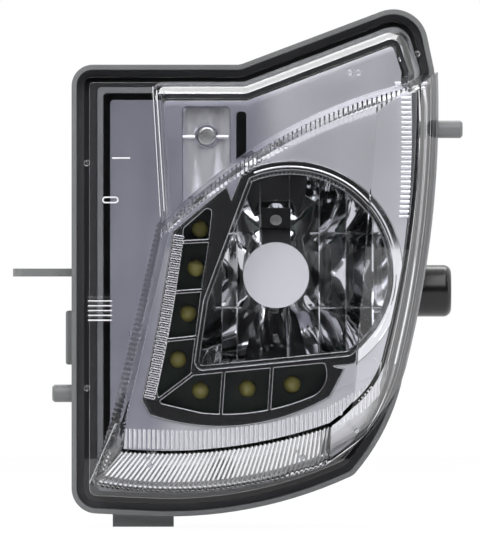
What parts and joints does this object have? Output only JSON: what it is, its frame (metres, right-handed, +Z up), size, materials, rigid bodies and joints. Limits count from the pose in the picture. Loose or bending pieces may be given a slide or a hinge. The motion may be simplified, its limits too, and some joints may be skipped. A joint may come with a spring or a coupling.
{
  "type": "auxiliary driving light",
  "caption": "Sealed driving light with a clear sculpted lens, faceted reflector, shielded bulb, a row of small lamps, side ear and aiming screw.",
  "frame": {"origin": "centre of the bolt hole in the side ear, half way through the ear", "axes": "+X across the lamp to the viewer's right, +Y from the lens to the back, +Z up"},
  "size_m": [0.1691, 0.114, 0.1943],
  "materials": {
    "grey_plastic": "fine satin grain",
    "black_plastic": "satin",
    "white_plastic": "satin",
    "nylon": "satin",
    "clear_plastic": "polished clear",
    "bulb_glass": "polished clear",
    "satin_silver": "satin metallised",
    "chrome": "polished metallised",
    "shield_grey": "matte",
    "board_green": "solder mask",
    "dome_yellow": "gloss",
    "rubber": "semi-gloss",
    "sealant": "matte",
    "steel": "zinc plated",
    "brass": "tinned"
  },
  "bodies": {
    "lamp": {"housing": "grey_plastic", "ear_sleeve": "steel", "driver_cover": "grey_plastic", "driver_board": "board_green", "vent_cap": "rubber", "lens": "clear_plastic", "lens_seal": "sealant", "bezel": "satin_silver", "trim_frame": "chrome", "lamp_tray": "black_plastic", "led_board": "board_green", "led_domes": "dome_yellow", "board_screws": "steel", "bezel_screws": "steel", "pivot_studs": "steel", "rear_boot": "rubber", "lamp_socket": "black_plastic", "socket_blades": "brass"},
    "reflector_unit": {"reflector": "chrome", "pivot_sockets": "nylon", "aim_nut": "nylon", "bulb_base": "black_plastic", "bulb_terminals": "brass", "bulb_ring": "sealant", "bulb_capsule": "bulb_glass", "bulb_shield": "shield_grey", "shield_rivet": "steel"},
    "aim_screw": {"aim_screw": "white_plastic", "aim_clip": "steel"}
  },
  "joints": [
    {"name": "aim_turn", "type": "hinge", "parent": "lamp", "child": "aim_screw", "pos_m": [0.0886, 0.04, -0.036], "axis": [0, 1, 0], "range_deg": [-352, 352]},
    {"name": "reflector_tilt", "type": "hinge", "parent": "lamp", "child": "reflector_unit", "pos_m": [0.0886, 0.031, -0.001], "axis": [1, 0, 0], "range_deg": [-2, 2]}
  ],
  "couplings": [
    {"joint": "aim_turn", "follows": "reflector_tilt", "ratio": -175.93}
  ]
}
